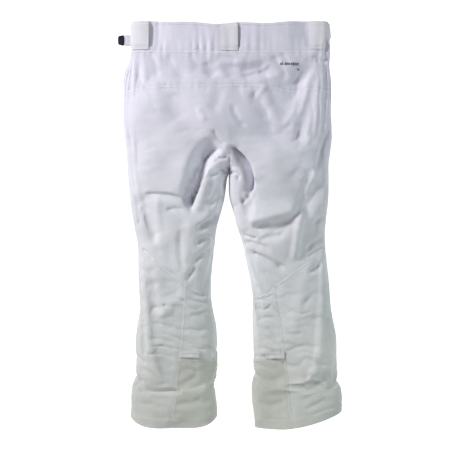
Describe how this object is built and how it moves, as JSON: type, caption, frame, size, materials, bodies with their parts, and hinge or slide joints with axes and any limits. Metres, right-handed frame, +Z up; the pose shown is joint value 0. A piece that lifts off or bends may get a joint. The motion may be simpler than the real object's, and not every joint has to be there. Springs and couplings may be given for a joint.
{
  "type": "ski pants",
  "caption": "Insulated ski pants with elastic belt loops, zipped fly and hand pockets, waist adjusters, cuff tabs, boot gaiters and scuff panels.",
  "frame": {"origin": "middle of the waistband's top edge, where a hanger or the wearer's waist holds the pants", "axes": "+Z up along the legs, +Y towards the wearer's front, -X towards the wearer's left"},
  "size_m": [0.5573, 0.1416, 1.005],
  "materials": {
    "shell_white": "fine woven shell cloth, matte with a faint sheen",
    "shell_thigh": "fine woven shell cloth, matte with a faint sheen",
    "shell_calf": "fine woven shell cloth, matte",
    "guard_cloth": "tough plain-weave scuff cloth, matte",
    "lining_cloth": "smooth taffeta lining",
    "gaiter_cloth": "coated taffeta, slightly shiny",
    "elastic_cream": "ribbed woven elastic, matte",
    "hook_tape": "hook tape, rough",
    "zip_tape": "woven zip tape with moulded chain",
    "nickel": "satin nickel",
    "tip_navy": "moulded soft-touch rubber, dark navy",
    "print_grey": "flat transfer print, dark grey"
  },
  "bodies": {
    "pants": {"waistband_back": "shell_white", "waistband_front_left": "shell_white", "waistband_front_right": "shell_white", "waist_elastic_back": "elastic_cream", "waistband_facing_back": "lining_cloth", "back_yoke": "shell_white", "back_thigh_left": "shell_thigh", "front_thigh_left": "shell_thigh", "back_thigh_right": "shell_thigh", "front_thigh_right": "shell_thigh", "crotch_gusset": "shell_thigh", "knee_panel_left": "shell_calf", "shin_panel_left": "shell_calf", "calf_outer_left": "shell_calf", "calf_inner_left": "shell_calf", "kick_panel_left": "guard_cloth", "hem_band_left": "shell_calf", "knee_panel_right": "shell_calf", "shin_panel_right": "shell_calf", "calf_outer_right": "shell_calf", "calf_inner_right": "shell_calf", "kick_panel_right": "guard_cloth", "hem_band_right": "shell_calf", "seat_lining": "lining_cloth", "leg_lining_left": "lining_cloth", "snow_gaiter_left": "gaiter_cloth", "gaiter_grip_left": "elastic_cream", "pocket_bag_left": "lining_cloth", "leg_lining_right": "lining_cloth", "snow_gaiter_right": "gaiter_cloth", "gaiter_grip_right": "elastic_cream", "pocket_bag_right": "lining_cloth", "fly_shield": "lining_cloth", "belt_loop_back_left": "elastic_cream", "belt_loop_back_right": "elastic_cream", "belt_loop_front_left": "elastic_cream", "belt_loop_front_right": "elastic_cream", "side_loop_right": "elastic_cream", "belt_loop_back_centre": "elastic_cream", "fly_zip": "zip_tape", "pocket_zip_left": "zip_tape", "pocket_zip_right": "zip_tape", "press_stud": "nickel", "cuff_hook_pad_left": "hook_tape", "cuff_hook_pad_right": "hook_tape", "rear_mark": "print_grey"},
    "fly_slider": {"fly_slider": "nickel"},
    "fly_pull": {"fly_pull": "nickel"},
    "pocket_slider_left": {"pocket_slider_left": "nickel"},
    "pocket_pull_left": {"pocket_pull_left": "nickel"},
    "pocket_slider_right": {"pocket_slider_right": "nickel"},
    "pocket_pull_right": {"pocket_pull_right": "nickel"},
    "waist_flap": {"waist_flap": "shell_white", "press_stud_cap": "nickel"},
    "adjuster_left": {"adjuster_strap_left": "elastic_cream", "adjuster_tip_left": "tip_navy"},
    "adjuster_right": {"adjuster_strap_right": "elastic_cream", "adjuster_tip_right": "tip_navy"},
    "cuff_tab_left": {"cuff_tab_left": "elastic_cream"},
    "cuff_tab_right": {"cuff_tab_right": "elastic_cream"}
  },
  "joints": [
    {"name": "fly_slide", "type": "slide", "parent": "pants", "child": "fly_slider", "axis": [0, 0.1588, -0.9873], "range_m": [0, 0.115]},
    {"name": "fly_pull_turn", "type": "hinge", "parent": "fly_slider", "child": "fly_pull", "pos_m": [0, 0.03638, -0.0783], "axis": [1, 0, 0], "range_deg": [0, 150]},
    {"name": "pocket_slide_left", "type": "slide", "parent": "pants", "child": "pocket_slider_left", "axis": [-0.5987, 0.0076, -0.801], "range_m": [0, 0.13]},
    {"name": "pocket_pull_turn_left", "type": "hinge", "parent": "pocket_slider_left", "child": "pocket_pull_left", "pos_m": [-0.13385, 0.04104, -0.09523], "axis": [0.7798, 0.2339, -0.5806], "range_deg": [0, 150]},
    {"name": "pocket_slide_right", "type": "slide", "parent": "pants", "child": "pocket_slider_right", "axis": [0.5987, 0.0076, -0.801], "range_m": [0, 0.13]},
    {"name": "pocket_pull_turn_right", "type": "hinge", "parent": "pocket_slider_right", "child": "pocket_pull_right", "pos_m": [0.13385, 0.04104, -0.09523], "axis": [0.7798, -0.2339, 0.5806], "range_deg": [0, 150]},
    {"name": "waist_flap_turn", "type": "hinge", "parent": "pants", "child": "waist_flap", "pos_m": [0.008, 0.0354, -0.036], "axis": [0, 0, -1], "range_deg": [0, 150]},
    {"name": "adjuster_turn_left", "type": "hinge", "parent": "pants", "child": "adjuster_left", "pos_m": [-0.236, 0.0188, -0.044], "axis": [0, 0, -1], "range_deg": [-8, 75]},
    {"name": "adjuster_turn_right", "type": "hinge", "parent": "pants", "child": "adjuster_right", "pos_m": [0.236, 0.0188, -0.044], "axis": [0, 0, -1], "range_deg": [0, 80]},
    {"name": "cuff_tab_turn_left", "type": "hinge", "parent": "pants", "child": "cuff_tab_left", "pos_m": [-0.1283, -0.0567, -0.832], "axis": [0, 0, -1], "range_deg": [0, 140]},
    {"name": "cuff_tab_turn_right", "type": "hinge", "parent": "pants", "child": "cuff_tab_right", "pos_m": [0.1423, -0.0556, -0.832], "axis": [0, 0, 1], "range_deg": [0, 140]}
  ]
}
